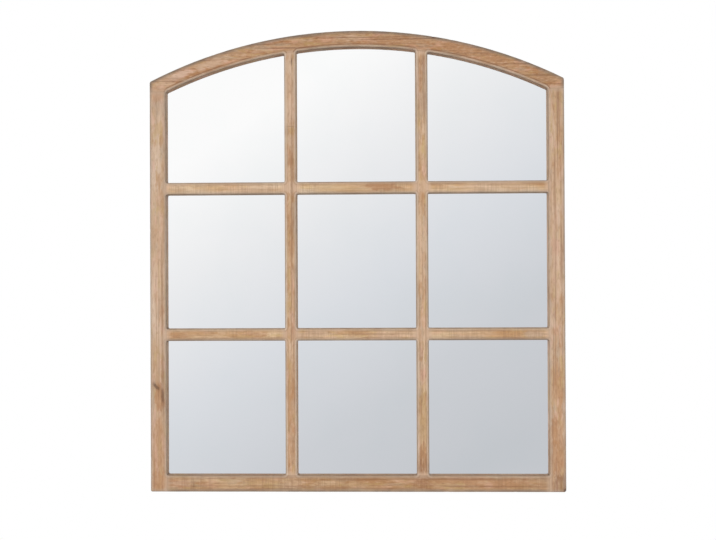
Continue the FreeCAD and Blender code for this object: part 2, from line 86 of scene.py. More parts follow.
class FirSettings(PropertyGroup):
    """Tones, wear, painted shade and painted sheen of the fir members."""
    cream: colour("Cream", "Palest wood", (211, 180, 153))
    tan: colour("Tan", "Common tone of the wood", (194, 158, 125))
    rust: colour("Rust", "Warmest wood", (178, 132, 93))
    ochre: colour("Ochre", "Yellow patches", (190, 157, 110))
    blush: colour("Blush", "Pinkish patches", (209, 166, 142))
    ash: colour("Ash", "Greyed patches", (180, 156, 134))
    # This tone also paints shade: the line beside the rounding, the band over it and long bands along some
    # rail and bar edges.
    streak_and_shade: colour("Streak", "Late growth and pores", (128, 88, 58))
    pitch: colour("Pitch", "Knots and cracks", (66, 44, 31))
    # This tone is dirt with painted shade along the inner edges, on the opening walls and along the outer
    # rim.
    grime_and_shade: colour("Grime", "Grey dirt along the edges", (92, 78, 66))
    # This tone is greyed wood with painted sheen beside the edges.
    weather_and_sheen: colour("Weather", "Greyed wood beside the edges", (170, 155, 140))
    # This tone is worn-through wood with painted sheen on the rounded edges.
    bleach_and_sheen: colour("Bleach", "Bare wood of the rounded edges", (214, 190, 166))
    smear: colour("Smear", "Filler rubbed over the joints", (198, 167, 141))
    raw: colour("Raw", "Unfinished back", (206, 176, 139))
    slice_along: length("Slice along", "Grid of the wear along the grain", 3.0)
    slice_across: length("Slice across", "Grid of the wear across the grain", 2.0)
    slice_deep: length("Slice deep", "Grid of the wear into the depth", 2.6)
    hollow: length("Hollows", "Depth of the hand-worn hollows", 0.22)
    ridge: length("Ridges", "Depth of the brushed soft grain", 0.14)
    tick: length("Saw ticks", "Depth of the saw marks across the grain", 0.12)
    groove: length("Joint groove", "Depth of the eased edges at a joint", 0.08)
    nick: length("Nicks", "Depth of the dents along the outer edges", 0.9)
    corner: length("Corners", "Depth that the outer corners are worn away", 1.6)


class GlassSettings(PropertyGroup):
    """Tones of the mirror panes."""
    silver: colour("Silver", "Silvered face", (252, 252, 252))
    haze: colour("Haze", "Faint film on the face", (250, 251, 251))
    rim: colour("Rim", "Ground edge of the glass", (118, 150, 136))
    paint: colour("Paint", "Protective paint of the back", (112, 116, 120))


class FittingSettings(PropertyGroup):
    """Tones of the board, the hardware and the hidden dowels."""
    board: colour("Board", "Smooth face of the fibreboard", (146, 110, 78))
    fleck: colour("Fleck", "Fibres of the board", (112, 78, 50))
    zinc: colour("Zinc", "Plated straps and rings", (200, 202, 204))
    dull: colour("Dull zinc", "Tarnish of the plating", (150, 152, 152))
    brass: colour("Passivated zinc", "Yellow tinge of the screws", (206, 192, 150))
    rubber: colour("Rubber", "Pads at the foot of the back", (46, 45, 44))
    bloom: colour("Bloom", "Dusty film on the pads", (78, 76, 73))
    beech: colour("Beech", "Dowels", (206, 172, 130))
    ray: colour("Beech ray", "Flecks of the dowels", (172, 130, 88))


class StageSettings(PropertyGroup):
    """Camera, lamps and floor."""
    eye: bpy.props.FloatVectorProperty(name="Eye", description="Place of the camera",
                                       default=(0.06374, -2.2, 0.46621), subtype="TRANSLATION", size=3)
    turn: bpy.props.FloatVectorProperty(name="Turn", description="Turn of the camera",
                                        default=(math.pi / 2 + 0.00649, 0.00454, 0.02764),
                                        subtype="EULER", size=3)
    lens: bpy.props.FloatProperty(name="Lens", description="Focal length in millimetres on a 36 mm sensor",
                                  default=50.815, min=1)
    surround: share("Surround", "Even light of the room", 0.58)
    overhead: share("Overhead", "Share of that light that is moved from below to above", 0.35)
    key: share("Key", "Light from the upper left front", 1.35, 5.0)
    fill: share("Fill", "Light from the right front", 0.4, 5.0)
    back: share("Back", "Light from the upper right behind", 1.2, 5.0)
    floor_level: bpy.props.FloatProperty(name="Floor level", description="Floor below the hanging mirror",
                                         default=-1.2, subtype="DISTANCE", unit="LENGTH")
    floor_radius: length("Floor radius", "Reach of the floor", 3000)
    floor: colour("Floor", "Pale floor", (232, 232, 232))
    bright: colour("Bright", "Upper left of the room that the glass shows", (254, 254, 254))
    pale: colour("Pale", "Between the upper left and the middle of that room", (237, 238, 240))
    middle: colour("Middle", "Middle of the room that the glass shows", (220, 223, 228))
    dusky: colour("Dusky", "Between the middle and the lower right of that room", (206, 209, 214))
    dim: colour("Dim", "Lower right of the room that the glass shows", (198, 201, 206))


# Measures of the front, in millimetres
FAR = 1000.0
BEARING_RADIUS = 4.0


class Plan:
    """Outlines of the frame front, taken from the members' own boxes."""

    def __init__(self):
        def span(node, axis):
            low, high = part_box(node)
            return low[axis] / MM, high[axis] / MM

        self.half_width = span("right_stile", 0)[1]
        top = span("arch_rail", 2)[1]
        self.head = span("left_stile", 2)[1]
        width = span("bottom_rail", 2)[1]
        rise, side = top - self.head, self.half_width - width
        self.radius = (rise ** 2 - width ** 2 + side ** 2) / (2 * (rise - width))
        self.centre = top - self.radius
        self.inner = self.radius - width
        self.shoulder = self.arc(self.half_width, self.radius)
        across = [span(node, 0) for node in (
            "left_stile", "left_glazing_bar", "right_glazing_bar", "right_stile")]
        self.bars = across[1:3]
        self.levels = lower, upper = span("lower_glazing_bar", 2), span("upper_glazing_bar", 2)
        self.columns = [(left[1], right[0]) for left, right in zip(across, across[1:])]
        self.rows = ((width, lower[0]), (lower[1], upper[0]), (upper[1], None))
        self.glass = span("pane_middle_centre", 1)[0]
        self.joints = self.joint_lines()

    def arc(self, x, radius):
        return self.centre + math.sqrt(radius ** 2 - x ** 2)

    def joint_lines(self):
        """Ends of every joint line that shows at the front."""
        side, sill = self.columns[2][1], self.rows[0][0]
        lines = []
        for sign in (-1, 1):
            lines.append((sign * side, self.head, sign * self.half_width, self.head))
            lines.append((sign * side, 0, sign * side, sill))
            lines += [(sign * side, low, sign * side, high) for low, high in self.levels]
        for left, right in self.bars:
            lines.append((left, sill, right, sill))
            lines.append((left, self.arc(left, self.inner), right, self.arc(right, self.inner)))
            lines += [(x, low, x, high) for x in (left, right) for low, high in self.levels]
        return lines

    def edge(self, x, z, corner=BEARING_RADIUS):
        """Distance from the edge of the nearest opening, outwards into the wood."""
        nearest = np.full(x.shape, FAR)
        crown = np.hypot(x, z - self.centre) - self.inner
        for left, right in self.columns:
            aside = np.maximum(left - x, x - right)
            for low, high in self.rows:
                over = crown if high is None else z - high
                beyond = np.maximum(low - z, over)
                out = np.hypot(np.maximum(aside + corner, 0), np.maximum(beyond + corner, 0))
                inside = np.minimum(np.maximum(aside, beyond) + corner, 0)
                nearest = np.minimum(nearest, out + inside - corner)
        return np.maximum(nearest, 0)

    def rim(self, x, z):
        """Distance from the outline of the whole frame, inwards."""
        return np.maximum(np.minimum.reduce((self.half_width - np.abs(x), z,
                                             self.radius - np.hypot(x, z - self.centre))), 0)

    def corner(self, x, z):
        """Distance of one point from the nearest outer corner."""
        return math.hypot(self.half_width - abs(x), min(abs(z), abs(self.shoulder - z)))

    def joint(self, x, z):
        """Distance from the nearest joint line."""
        nearest = np.full(x.shape, FAR)
        for x0, z0, x1, z1 in self.joints:
            run = np.array((x1 - x0, z1 - z0))
            along = np.clip(((x - x0) * run[0] + (z - z0) * run[1]) / run.dot(run), 0, 1)
            nearest = np.minimum(nearest, np.hypot(x - x0 - along * run[0], z - z0 - along * run[1]))
        return nearest


PLAN = Plan()


# Timber of each member
class Oval:
    """Oval on the front of a member, turned in degrees."""

    def __init__(self, x, z, half_x, half_z, turn=0.0):
        self.x, self.z, self.half_x, self.half_z = x, z, half_x, half_z
        self.turn = math.radians(turn)

    def distance(self, x, z):
        """Distance from the middle, 1 at the edge."""
        c, s = math.cos(self.turn), math.sin(self.turn)
        aside, along = x - self.x, z - self.z
        return math.hypot((aside * c - along * s) / self.half_x,
                          (aside * s + along * c) / self.half_z)


class Mark(Oval):
    """Knot, crack or burn, which is dark and sunk."""

    def __init__(self, *oval, turn=0.0, deep=0.0, dark=1.0):
        super().__init__(*oval, turn=turn)
        self.deep, self.dark = deep, dark


class Stain(Oval):
    """Patch of another of the wood's own tones: tone, amount and oval."""

    def __init__(self, tone, amount, *oval):
        super().__init__(*oval)
        self.tone, self.amount = tone, amount


class Timber:
    """How one member was sawn and worn.

    The grain runs along X or Z, the seed moves the figure, tint scales the tones and bold the contrast.
    The other numbers are amounts: saw ticks, warmth of the ground, dirt and painted shade of the outer rim
    and how far it reaches, dirt and painted shade of the inner edges and of the walls below them,
    worn-through wood and painted sheen on the rounding, a painted shade line with some dark wax beside it,
    painted shade over it, tone of the filler in the joints and wear of the outer corners.
    """

    def __init__(self, grain, seed, tint, ticks=0.0, warm=0.0, rim=0.35, reach=4.0, arris=0.5, wall=0.06,
                 bare_and_sheen=0.4, quirk=0.25, dusk=0.0, bold=1.0, filler=1.0, corner=0.0, marks=(), stains=()):
        self.grain, self.seed, self.tint, self.ticks, self.warm = grain, seed, tint, ticks, warm
        self.rim, self.reach, self.arris, self.wall, self.bare_and_sheen = rim, reach, arris, wall, bare_and_sheen
        self.quirk, self.dusk, self.bold, self.filler, self.corner = quirk, dusk, bold, filler, corner
        self.marks, self.stains = marks, [Stain(*row) for row in stains]

    def run(self, place):
        """Along the grain, across it and into the depth."""
        return (place.z, place.x, place.y) if self.grain == "Z" else (place.x, place.z, place.y)


TIMBERS = {
    "left_stile": Timber(
        "Z", 3.1, (1.02, 1.09, 1.16), rim=0.5, bare_and_sheen=0.06, quirk=0.12, dusk=0.05, filler=0.86,
        corner=0.3,
        marks=(Mark(-437, 228, 4.6, 11, turn=-43, deep=0.7, dark=0.62),
               Mark(-423, 206, 3.8, 18, turn=-4, deep=0.5, dark=0.45)),
        stains=(("rust", 0.8, -430, 206, 11, 28), ("ochre", 0.5, -430, 792, 14, 14),
                ("ash", 0.5, -431, 840, 16, 24), ("cream", 0.35, -433, 480, 16, 130),
                ("rust", 0.4, -421, 560, 4, 90), ("rust", 0.8, -432, 18, 22, 26),
                ("rust", 0.42, -432, 100, 16, 64), ("rust", 0.45, -432, 864, 22, 14))),
    "right_stile": Timber(
        "Z", 17.7, (1.06, 1.11, 1.16), rim=0.5, bare_and_sheen=0.06, quirk=0.1, dusk=0.07, filler=0.86,
        corner=1.5,
        marks=(Mark(447, 4, 4, 5, deep=0.3, dark=0.75),),
        stains=(("rust", 0.65, 432, 100, 18, 62), ("rust", 0.75, 424, 132, 8, 34),
                ("rust", 0.5, 432, 62, 20, 34), ("streak_and_shade", 0.55, 438, 16, 18, 24),
                ("rust", 0.4, 428, 250, 5, 60), ("cream", 0.45, 432, 560, 17, 170),
                ("blush", 0.6, 430, 528, 9, 22))),
    "bottom_rail": Timber(
        "X", 29.3, (0.90, 0.87, 0.75), ticks=1.0, warm=0.3, rim=0.66, reach=9.0, wall=0.2, bare_and_sheen=0.12,
        filler=0.82, marks=(Mark(-356, 14, 1.2, 8, deep=0.2, dark=0.3),),
        # The first stain, a long band along the rail's top edge, is painted shade on the rounding.
        stains=(("streak_and_shade", 0.32, 0, 34, 900, 4), ("blush", 0.35, -385, 17, 26, 8),
                ("ochre", 0.5, -205, 16, 42, 9), ("cream", 0.35, -142, 18, 26, 10),
                ("rust", 0.45, 142, 18, 26, 12), ("streak_and_shade", 0.2, 142, 18, 26, 14),
                ("streak_and_shade", 0.2, 372, 18, 48, 14), ("rust", 0.75, 300, 18, 85, 12),
                ("rust", 0.4, 215, 25, 60, 6), ("blush", 0.35, 284, 14, 10, 7))),
    "arch_rail": Timber(
        "X", 41.9, (0.91, 0.83, 0.72), ticks=0.1, warm=0.4, rim=0.78, reach=10.0, wall=0.15, bare_and_sheen=0.6,
        quirk=0.75, bold=1.5, filler=0.9, corner=0.6, marks=(Mark(168, 985, 5, 3.5, deep=0.6),),
        stains=(("blush", 0.9, -384, 907, 30, 10, -24), ("cream", 0.5, -3, 984, 34, 7),
                ("bleach_and_sheen", 0.4, -384, 908, 26, 7, -24), ("cream", 0.5, -413, 895, 24, 14, -24),
                ("streak_and_shade", 0.2, 412, 898, 26, 14, 24), ("cream", 0.3, -202, 960, 26, 7, -12),
                ("cream", 0.6, -312, 932, 44, 9, -19), ("rust", 0.8, 92, 979, 66, 11),
                ("rust", 0.85, 230, 956, 50, 11, 13), ("rust", 0.95, 304, 936, 36, 11, 18))),
    "left_glazing_bar": Timber(
        "Z", 53.2, (1.04, 1.05, 1.02), warm=0.2, arris=0.4, bare_and_sheen=0.6, quirk=0.3, bold=1.15,
        marks=(Mark(-143, 793, 8, 1.0, deep=0.3, dark=0.3), Mark(-139, 935, 1.3, 10, deep=0.2, dark=0.7)),
        stains=(("rust", 0.7, -143, 724, 5, 22), ("rust", 0.4, -142, 555, 6, 62),
                ("cream", 0.5, -143, 880, 10, 75), ("cream", 0.8, -143, 824, 10, 34),
                ("bleach_and_sheen", 0.3, -143, 926, 12, 22), ("rust", 0.45, -143, 84, 14, 34),
                ("cream", 0.6, -143, 762, 7, 16), ("cream", 0.8, -143, 659, 14, 16),
                ("rust", 0.5, -143, 341, 14, 16), ("rust", 0.35, -143, 160, 10, 110))),
    "right_glazing_bar": Timber(
        "Z", 67.5, (1.08, 1.13, 1.13), warm=0.1, bare_and_sheen=0.5, quirk=0.25, bold=1.2, filler=1.08,
        stains=(("ash", 0.5, 143, 880, 12, 80), ("rust", 0.4, 143, 934, 14, 18),
                ("cream", 0.5, 143, 659, 14, 16), ("cream", 0.4, 143, 341, 14, 16),
                ("rust", 0.65, 141, 897, 4, 36), ("cream", 0.5, 143, 500, 8, 80),
                ("blush", 0.6, 143, 252, 7, 17), ("ochre", 0.6, 143, 140, 9, 95),
                ("rust", 0.8, 143, 62, 16, 42), ("streak_and_shade", 0.35, 143, 44, 16, 26))),
    "lower_glazing_bar": Timber(
        "X", 83.6, (1.16, 1.22, 1.12), ticks=0.9, warm=0.05, arris=0.62, wall=0.4, bare_and_sheen=0.1, quirk=0.15,
        dusk=0.16, bold=0.85,
        # The first stain, a long band along the bar's bottom edge, is painted shade on the rounding.
        stains=(("streak_and_shade", 0.24, 0, 329, 900, 8), ("rust", 0.55, -390, 341, 20, 8),
                ("rust", 0.4, -300, 341, 90, 9), ("rust", 0.5, -222, 340, 22, 8),
                ("cream", 0.6, -90, 342, 40, 8), ("rust", 0.4, 5, 341, 24, 8),
                ("cream", 0.5, 80, 342, 50, 9), ("cream", 0.3, 250, 341, 60, 9),
                ("ash", 0.6, 385, 341, 24, 8))),
    "upper_glazing_bar": Timber(
        "X", 97.4, (1.29, 1.41, 1.39), ticks=1.0, arris=0.62, wall=0.45, bare_and_sheen=0.1, quirk=0.15, dusk=0.13,
        bold=0.6, filler=1.1,
        # The first stain, a long band along the bar's top edge, is painted shade on the rounding.
        stains=(("streak_and_shade", 0.26, 0, 671, 900, 6), ("ochre", 0.32, -30, 659, 90, 10),
                ("rust", 0.9, 57, 662, 38, 9), ("rust", 0.3, 180, 660, 19, 5),
                ("ash", 0.3, -392, 661, 18, 8), ("cream", 0.5, -220, 659, 50, 9),
                ("cream", 0.5, 300, 660, 70, 9))),
}


# Node trees and materials
class Nodes:
    """Node tree that is wired step by step."""

    def __init__(self, tree):
        self.tree = tree
        tree.nodes.clear()

    def add(self, kind, settings=None, **inputs):
        node = self.tree.nodes.new("ShaderNode" + kind)
        for name, value in (settings or {}).items():
            setattr(node, name, value)
        for name, value in inputs.items():
            self.feed(node.inputs[name.replace("_", " ")], value)
        return node

    def feed(self, socket, value):
        """Links a socket to another one, or sets its value."""
        if isinstance(value, NodeSocket):
            self.tree.links.new(value, socket)
        elif socket.type == "RGBA" and len(value) == 3:
            socket.default_value = (*value, 1)
        else:
            socket.default_value = value

    def join(self, kind, settings, *values):
        """Node whose first inputs take these values in turn."""
        node = self.add(kind, settings)
        for socket, value in zip(node.inputs, values):
            self.feed(socket, value)
        return node

    def math(self, operation, *values):
        return self.join("Math", {"operation": operation}, *values).outputs[0]

    def times(self, first, second):
        return self.math("MULTIPLY", first, second)

    def measure(self, operation, *vectors):
        """Number that an operation on vectors gives."""
        return self.join("VectorMath", {"operation": operation}, *vectors).outputs["Value"]

    def rise(self, value, low, high, bottom=0.0, top=1.0):
        """Soft step from one level to another as a value goes from low to high."""
        return self.join("MapRange", {"interpolation_type": "SMOOTHSTEP"},
                         value, low, high, bottom, top).outputs[0]

    def window(self, value, start, full, fading, end):
        """1 between two inner levels of a value, falling to 0 at the outer ones."""
        return self.times(self.rise(value, start, full), self.rise(value, end, fading))

    def blend(self, factor, under, over):
        node = self.add("Mix", {"data_type": "RGBA"})
        for number, value in ((0, factor), (6, under), (7, over)):
            self.feed(node.inputs[number], value)
        return node.outputs[2]

    def ramp(self, factor, stops):
        node = self.add("ValToRGB", Fac=factor)
        band = node.color_ramp
        while len(band.elements) < len(stops):
            band.elements.new(0.5)
        for element, (position, tone) in zip(band.elements, stops):
            element.position = position
            element.color = (*tone, 1)
        return node.outputs[0]

    def mirrored(self, path):
        """Whether a ray comes by way of a reflection or through glass."""
        return self.math("MAXIMUM", path["Is Glossy Ray"], path["Is Transmission Ray"])

    def either(self, factor, off, on):
        """One shader or the other."""
        return self.join("MixShader", None, factor, off, on).outputs[0]

    def end(self, kind, shader):
        self.tree.links.new(shader, self.add(kind).inputs["Surface"])


class Finish(Nodes):
    """Procedural material on Object coordinates, whose tone is laid on coat by coat."""

    def __init__(self, name, grain="X", seed=0.0, ground=None):
        self.material = bpy.data.materials.new(name)
        self.material.use_nodes = True
        super().__init__(self.material.node_tree)
        self.grain, self.seed, self.tone = grain, seed, ground
        self.place = self.add("TexCoord").outputs["Object"]

    def cloud(self, along, across, depth=None, shift=0.0, detail=2.0, rough=0.5, warp=0.0):
        """Noise whose patches have these lengths in millimetres."""
        depth = across if depth is None else depth
        sizes = (along, depth, across) if self.grain == "X" else (across, depth, along)
        offset = self.seed + shift
        mapped = self.add("Mapping", Vector=self.place, Scale=tuple(1 / (s * MM) for s in sizes),
                          Location=(offset, offset * 0.37, offset * 0.71))
        return self.add("TexNoise", Vector=mapped.outputs[0], Scale=1.0, Detail=detail,
                        Roughness=rough, Distortion=warp).outputs[0]

    def patch(self, sizes, low, high, bottom=0.0, top=1.0, **how):
        """Noise of these sizes, stepped softly from one level to another."""
        return self.rise(self.cloud(*sizes, **how), low, high, bottom, top)

    def wander(self, cloud, bottom, top):
        """Value that wanders with a noise between two levels."""
        return self.rise(cloud, 0.3, 0.7, bottom, top)

    def attribute(self, name):
        return self.add("Attribute", {"attribute_name": name}).outputs["Fac"]

    def oval(self, mark):
        """Distance from the middle of a mark, 1 at its edge, the same at every depth."""
        mapped = self.add("Mapping", {"vector_type": "TEXTURE"}, Vector=self.place,
                          Location=(mark.x * MM, 0, mark.z * MM), Rotation=(0, mark.turn, 0),
                          Scale=(mark.half_x * MM, FAR, mark.half_z * MM))
        return self.measure("LENGTH", mapped.outputs[0])

    def lay(self, factor, coat):
        """Lays one more coat over the tone."""
        self.tone = self.blend(factor, self.tone, coat)

    def bump(self, height, strength, millimetres):
        return self.add("Bump", Height=height, Strength=strength,
                        Distance=millimetres * MM).outputs[0]

    def surface(self, **inputs):
        """Ends the material in one shader, with its even values set on the shader itself."""
        shader = self.add("BsdfPrincipled", Base_Color=self.tone, **inputs)
        self.end("OutputMaterial", shader.outputs[0])
        return self.material


def tinted(tone, tint):
    return tuple(min(1, part * scale) for part, scale in zip(tone, tint))


def shaded(tone, amount):
    return tinted(tone, (amount, amount, amount))


# Fir, with its distances in millimetres
FIELDS = ("edge", "rim", "joint")
GROUND = ((0.30, "rust"), (0.48, "tan"), (0.66, "cream"))
PATCHES = (("ochre", (46, 15), 0.7, 5.3), ("blush", (52, 13), 0.7, 11.9),
           ("ash", (64, 11), 0.55, 23.7), ("rust", (38, 9), 0.65, 31.1))
FILLED, SEAM = (11.0, 1.0), (0.8, 0.1)
# Bands measured from the edges: the rounding and the greyed band take painted sheen, the line beside the
# rounding and the band over it take painted shade, the arris and wall bands take dirt with painted shade.
ROUNDING, QUIRK_SHADE, SHADE = (1.2, 2.6, 4.4, 6.0), (5.4, 6.6, 7.4, 9.4), (9.0, 4.0)
GREYED, ARRIS, WALL, FAINTER_AT_JOINT = (9.0, 0.0), (2.6, 1.0), (0.9, 0.1), (1.0, 16.0)
FRONT, BACK = (-5.0 * MM, -9.5 * MM), (10.4 * MM, 10.9 * MM)


def lay_grain(made, timber, tones):
    """Ground, patches, stains, flecks, growth streaks, fibres, pores and saw ticks; gives their height."""
    hue = {name: tinted(getattr(tones, name), timber.tint)
           for name in ("cream", "tan", "rust", "ochre", "blush", "ash")}
    cooler = 0.12 * timber.warm
    made.tone = made.ramp(made.cloud(130, 26, detail=3),
                          [(level + cooler, hue[name]) for level, name in GROUND])
    for name, sizes, amount, shift in PATCHES:
        made.lay(made.patch(sizes, 0.52, 0.64, 0.0, min(1.0, amount * timber.bold),
                            shift=shift, detail=4, rough=0.6), hue[name])
    blotch = made.math("SUBTRACT", made.cloud(16, 5, shift=71.9, detail=4, rough=0.6), 0.5)
    for stain in timber.stains:
        spread = made.math("ADD", made.oval(stain), made.times(blotch, 2.4))
        made.lay(made.rise(spread, 1.25, 0.6, 0.0, stain.amount), getattr(tones, stain.tone))
    fleck = made.cloud(13, 3.6, 5, shift=83.3, detail=3, rough=0.65)
    made.lay(made.rise(fleck, 0.52, 0.68, 0.0, 0.3 * timber.bold), tones.cream)
    made.lay(made.rise(fleck, 0.48, 0.32, 0.0, 0.3 * timber.bold), tones.streak_and_shade)
    growth = made.cloud(330, 4.6, 9, shift=7.7, detail=3, rough=0.55, warp=0.25)
    made.lay(made.rise(growth, 0.50, 0.68, 0.0, 0.5 * timber.bold), tones.streak_and_shade)
    fibre = made.cloud(42, 0.9, 1.3, shift=13.3, detail=2)
    made.lay(made.rise(fibre, 0.42, 0.75, 0.0, 0.28), tones.streak_and_shade)
    made.lay(made.patch((15, 0.55, 0.8), 0.66, 0.76, 0.0, 0.45, shift=19.9, detail=1), tones.streak_and_shade)
    height = made.math("ADD", made.times(growth, -0.8), made.times(fibre, -0.5))
    if timber.ticks:
        where = made.patch((60, 50), 0.38, 0.58, 0.0, timber.ticks, shift=37.7)
        tick = made.times(made.patch((2.7, 40), 0.40, 0.62, shift=43.1, detail=1), where)
        made.lay(made.times(tick, 0.26), tones.streak_and_shade)
        height = made.math("SUBTRACT", height, made.times(tick, 0.5))
    return height


def lay_edges(made, timber, tones, ragged, depth):
    """Filler over the joints; worn-through wood and painted sheen on the rounding, painted shade beside and
    over it; greyed wood and painted sheen, dirt and painted shade along the edges.
    """
    edge, rim, joint = (made.attribute(name) for name in FIELDS)
    filled = made.math("ADD", joint, made.times(ragged, 5.0))
    made.lay(made.rise(filled, *FILLED, 0.0, 0.68), shaded(tones.smear, timber.filler))
    made.lay(made.rise(joint, *SEAM, 0.0, 0.12), tones.pitch)
    # Worn-through wood with painted sheen: paler on the rounding of the inner edges.
    rubbed = made.patch((40, 30), 0.34, 0.62, 0.2 * timber.bare_and_sheen, timber.bare_and_sheen, shift=67.3, detail=3)
    made.lay(made.times(made.window(edge, *ROUNDING), rubbed), tones.bleach_and_sheen)
    # A painted shade line with some dark wax, beside the rounding where a step's corner would shade.
    broken_shade_line = made.patch((34, 200), 0.36, 0.60, 0.2 * timber.quirk, timber.quirk, shift=47.9)
    made.lay(made.times(made.window(edge, *QUIRK_SHADE), broken_shade_line), tones.streak_and_shade)
    # Painted shade over the rounding, darkest at the edge.
    made.lay(made.rise(edge, *SHADE, 0.0, timber.dusk), tones.streak_and_shade)
    front = made.rise(depth, *FRONT, 0.15, 1.0)
    # Greyed wood with painted sheen: less saturated near the inner edges and the outer rim, on the front.
    greyed = made.math("MAXIMUM", made.rise(edge, *GREYED, 0.0, 0.5), made.rise(rim, *GREYED, 0.0, 0.5))
    made.lay(made.times(greyed, front), tones.weather_and_sheen)
    # Dirt with painted shade: darker along the inner edges, on the walls of the openings and along the outer
    # rim.
    inner = made.math("ADD", made.rise(edge, *ARRIS, 0.0, timber.arris),
                      made.rise(edge, *WALL, 0.0, timber.wall - timber.arris))
    outer = made.times(made.rise(rim, timber.reach, 0.0, 0.0, timber.rim), front)
    outer = made.times(outer, made.rise(joint, *FAINTER_AT_JOINT, 0.5, 1.0))
    uneven_grime_and_shade = made.patch((24, 60), 0.3, 0.6, 0.6, 1.0, shift=53.3)
    made.lay(made.times(made.math("MAXIMUM", inner, outer), uneven_grime_and_shade), tones.grime_and_shade)


def fir_finish(tones, node):
    """Weathered fir of one member: its grain, its worn edges with their painted shade and sheen, its marks
    and its unfinished back.
    """
    timber = TIMBERS[node]
    made = Finish(node + "_fir", timber.grain, timber.seed)
    height = lay_grain(made, timber, tones)
    ragged = made.times(made.math("SUBTRACT", made.cloud(9, 3, shift=59.1, detail=3), 0.5), 1.6)
    depth = made.add("SeparateXYZ", Vector=made.place).outputs["Y"]
    lay_edges(made, timber, tones, ragged, depth)
    for mark in timber.marks:
        spot = made.math("ADD", made.oval(mark), ragged)
        made.lay(made.rise(spot, 2.2, 0.8, 0.0, 0.4 * mark.dark), tones.streak_and_shade)
        made.lay(made.rise(spot, 1.05, 0.45, 0.0, 0.86 * mark.dark), tones.pitch)
    made.lay(made.rise(depth, *BACK, 0.0, 0.6), tones.raw)
    return made.surface(Roughness=made.wander(made.cloud(40, 6, shift=61.7), 0.5, 0.68),
                        Normal=made.bump(height, 0.35, 0.35))


# Wear of the members, with its sizes in millimetres along, across and into the wood
CUT = 0.01 * MM
SIDEWAYS, FLAT, TOUCHING = 0.05, 0.9, 0.4
HOLLOWS, RIDGES, NICKS = (70, 15, 15), (90, 2.7, 5), (16, 40, 40)
TICK_PATCHES, TICKS, RAGGED = (60, 60, math.inf), (4.5, 80, math.inf), (6, 3, math.inf)
CORNER_REACH, NICK_REACH, WALL_REACH, LIP_REACH = 4.5, 5, 1.5, 6


def merged_copy(node):
    """Mesh of a CAD node as one closed shell of flat faces."""
    shell = bmesh.new()
    shell.from_mesh(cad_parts[node].data)
    bmesh.ops.remove_doubles(shell, verts=shell.verts, dist=WELD)
    bmesh.ops.dissolve_limit(shell, angle_limit=math.radians(0.4), verts=shell.verts, edges=shell.edges)
    return shell


def halve(shell, parts, axis, levels):
    """Cuts parts of a shell at the middle level, then each half at the levels left on its side."""
    if not levels:
        return
    middle = len(levels) // 2
    normal = Vector((0, 0, 0))
    normal[axis] = 1
    cut = bmesh.ops.bisect_plane(shell, geom=parts, dist=CUT, plane_co=normal * levels[middle],
                                 plane_no=normal)
    low, high = levels[middle] - CUT / 2, levels[middle] + CUT / 2
    below, above = [], []
    for part in cut["geom"]:
        verts = (part,) if isinstance(part, bmesh.types.BMVert) else part.verts
        spots = [vert.co[axis] for vert in verts]
        if min(spots) < low:
            below.append(part)
        elif max(spots) > high:
            above.append(part)
    halve(shell, below, axis, levels[:middle])
    halve(shell, above, axis, levels[middle + 1:])


def shown_faces(shell):
    """Faces of a member that show once the mirror is put together."""
    facing = np.array([face.normal.y for face in shell.faces])
    middles = np.array([face.calc_center_median() for face in shell.faces]) / MM
    x, y, z = middles.T
    side = np.abs(facing) <= SIDEWAYS
    outer = PLAN.rim(x, z) < TOUCHING
    wall = (y < PLAN.glass) & (PLAN.edge(x, z) < TOUCHING) & (PLAN.joint(x, z) > TOUCHING)
    seen = (facing < -SIDEWAYS) | (side & (outer | wall))
    return [face for face, keep in zip(shell.faces, seen) if keep]


def slice_up(shell, axis, step):
    """Cuts the faces of a member that show into even slices along one axis."""
    shell.normal_update()
    spots = [v.co[axis] for v in shell.verts]
    low, high = min(spots), max(spots)
    count = max(1, round((high - low) / step))
    levels = [low + (high - low) * number / count for number in range(1, count)]
    faces = shown_faces(shell)
    edges = dict.fromkeys(edge for face in faces for edge in face.edges)
    verts = dict.fromkeys(vert for face in faces for vert in face.verts)
    halve(shell, [*verts, *edges, *faces], axis, levels)


def waver(run, sizes, shift):
    """Smooth noise in a member, whose swells have these sizes."""
    return noise.noise([way / size + move for way, size, move in zip(run, sizes, shift)])


def wear_depth(tones, timber, place, edge, rim, joint):
    """How deep hollows, brushed grain, saw ticks, eased joints, nicks and marks go at one place."""
    run, seed = timber.run(place), timber.seed
    down = tones.hollow * (waver(run, HOLLOWS, (seed, 0, 0)) * 0.5 + 0.5)
    down += tones.ridge * (waver(run, RIDGES, (seed, 0, 9)) * 0.5 + 0.5)
    if timber.ticks:
        patch = max(0, waver(run, TICK_PATCHES, (seed, 0, 5)) + 0.35)
        down += timber.ticks * tones.tick * patch * (waver(run, TICKS, (0, seed, 2)) + 0.6)
    down += tones.groove * math.exp(-joint ** 2)
    down += timber.corner * tones.corner * max(0, 1 - PLAN.corner(place.x, place.z) / CORNER_REACH) ** 2
    if rim < NICK_REACH:
        down += tones.nick * max(0, waver(run, NICKS, (seed, 0, 0)) - 0.42) * (1 - rim / NICK_REACH)
    for mark in timber.marks:
        ragged = 0.25 * waver(run, RAGGED, (seed, 0, 3))
        down += mark.deep * MM * max(0, 1 - mark.distance(place.x, place.z) + ragged)
    if edge < WALL_REACH:
        down *= min(1, max(0, (PLAN.glass - place.y) / LIP_REACH)) * 0.6
    return max(0, down)


